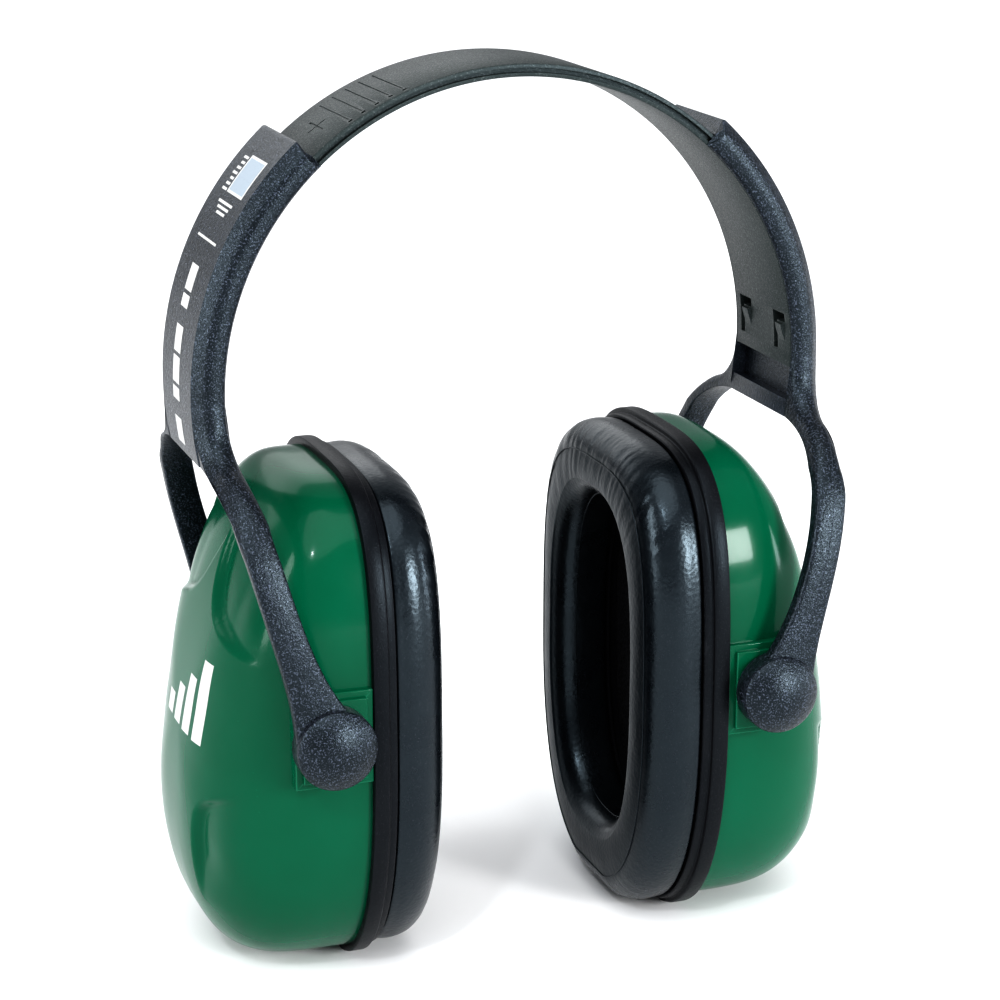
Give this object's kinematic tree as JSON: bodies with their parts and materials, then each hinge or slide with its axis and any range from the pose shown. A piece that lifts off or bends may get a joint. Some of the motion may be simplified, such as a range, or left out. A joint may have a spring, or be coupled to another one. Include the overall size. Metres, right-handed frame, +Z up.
{
  "type": "earmuff hearing protector",
  "caption": "Over-the-head earmuff hearing protector: flat curved headband, sliding forked yokes, tilting hard cups and soft vinyl ear cushions.",
  "frame": {"origin": "on the floor that the two cups stand on, midway between the cups", "axes": "+Z up; X runs from ear to ear, with the left cup at -X; Y runs along the pivot axes, with the front at -Y"},
  "size_m": [0.1418, 0.0902, 0.1842],
  "materials": {
    "band_plastic": "fine-grained satin",
    "yoke_plastic": "spark-eroded grain",
    "cup_green": "polished gloss",
    "rim_plastic": "fine grain",
    "cushion_vinyl": "soft glossy vinyl",
    "foam": "open-cell foam"
  },
  "bodies": {
    "headband": {"headband": "band_plastic"},
    "left_yoke": {"left_yoke": "yoke_plastic"},
    "right_yoke": {"right_yoke": "yoke_plastic"},
    "left_cup": {"left_cup_shell": "cup_green", "left_front_pivot_block": "cup_green", "left_rear_pivot_block": "cup_green", "left_base_plate": "rim_plastic", "left_cushion_plate": "rim_plastic", "left_cushion_foam": "foam", "left_cushion_skin": "cushion_vinyl", "left_absorber_foam": "foam", "left_inner_pad": "foam"},
    "right_cup": {"right_cup_shell": "cup_green", "right_front_pivot_block": "cup_green", "right_rear_pivot_block": "cup_green", "right_base_plate": "rim_plastic", "right_cushion_plate": "rim_plastic", "right_cushion_foam": "foam", "right_cushion_skin": "cushion_vinyl", "right_absorber_foam": "foam", "right_inner_pad": "foam"}
  },
  "joints": [
    {"name": "left_height_adjust", "type": "hinge", "parent": "headband", "child": "left_yoke", "pos_m": [0, 0, 0.1212], "axis": [0, -1, 0], "range_deg": [-6, 6]},
    {"name": "right_height_adjust", "type": "hinge", "parent": "headband", "child": "right_yoke", "pos_m": [0, 0, 0.1212], "axis": [0, 1, 0], "range_deg": [-6, 6]},
    {"name": "left_cup_tilt", "type": "hinge", "parent": "left_yoke", "child": "left_cup", "pos_m": [-0.047, 0, 0.0574], "axis": [0, -1, 0], "range_deg": [-8, 8]},
    {"name": "right_cup_tilt", "type": "hinge", "parent": "right_yoke", "child": "right_cup", "pos_m": [0.047, 0, 0.0574], "axis": [0, 1, 0], "range_deg": [-8, 8]}
  ]
}
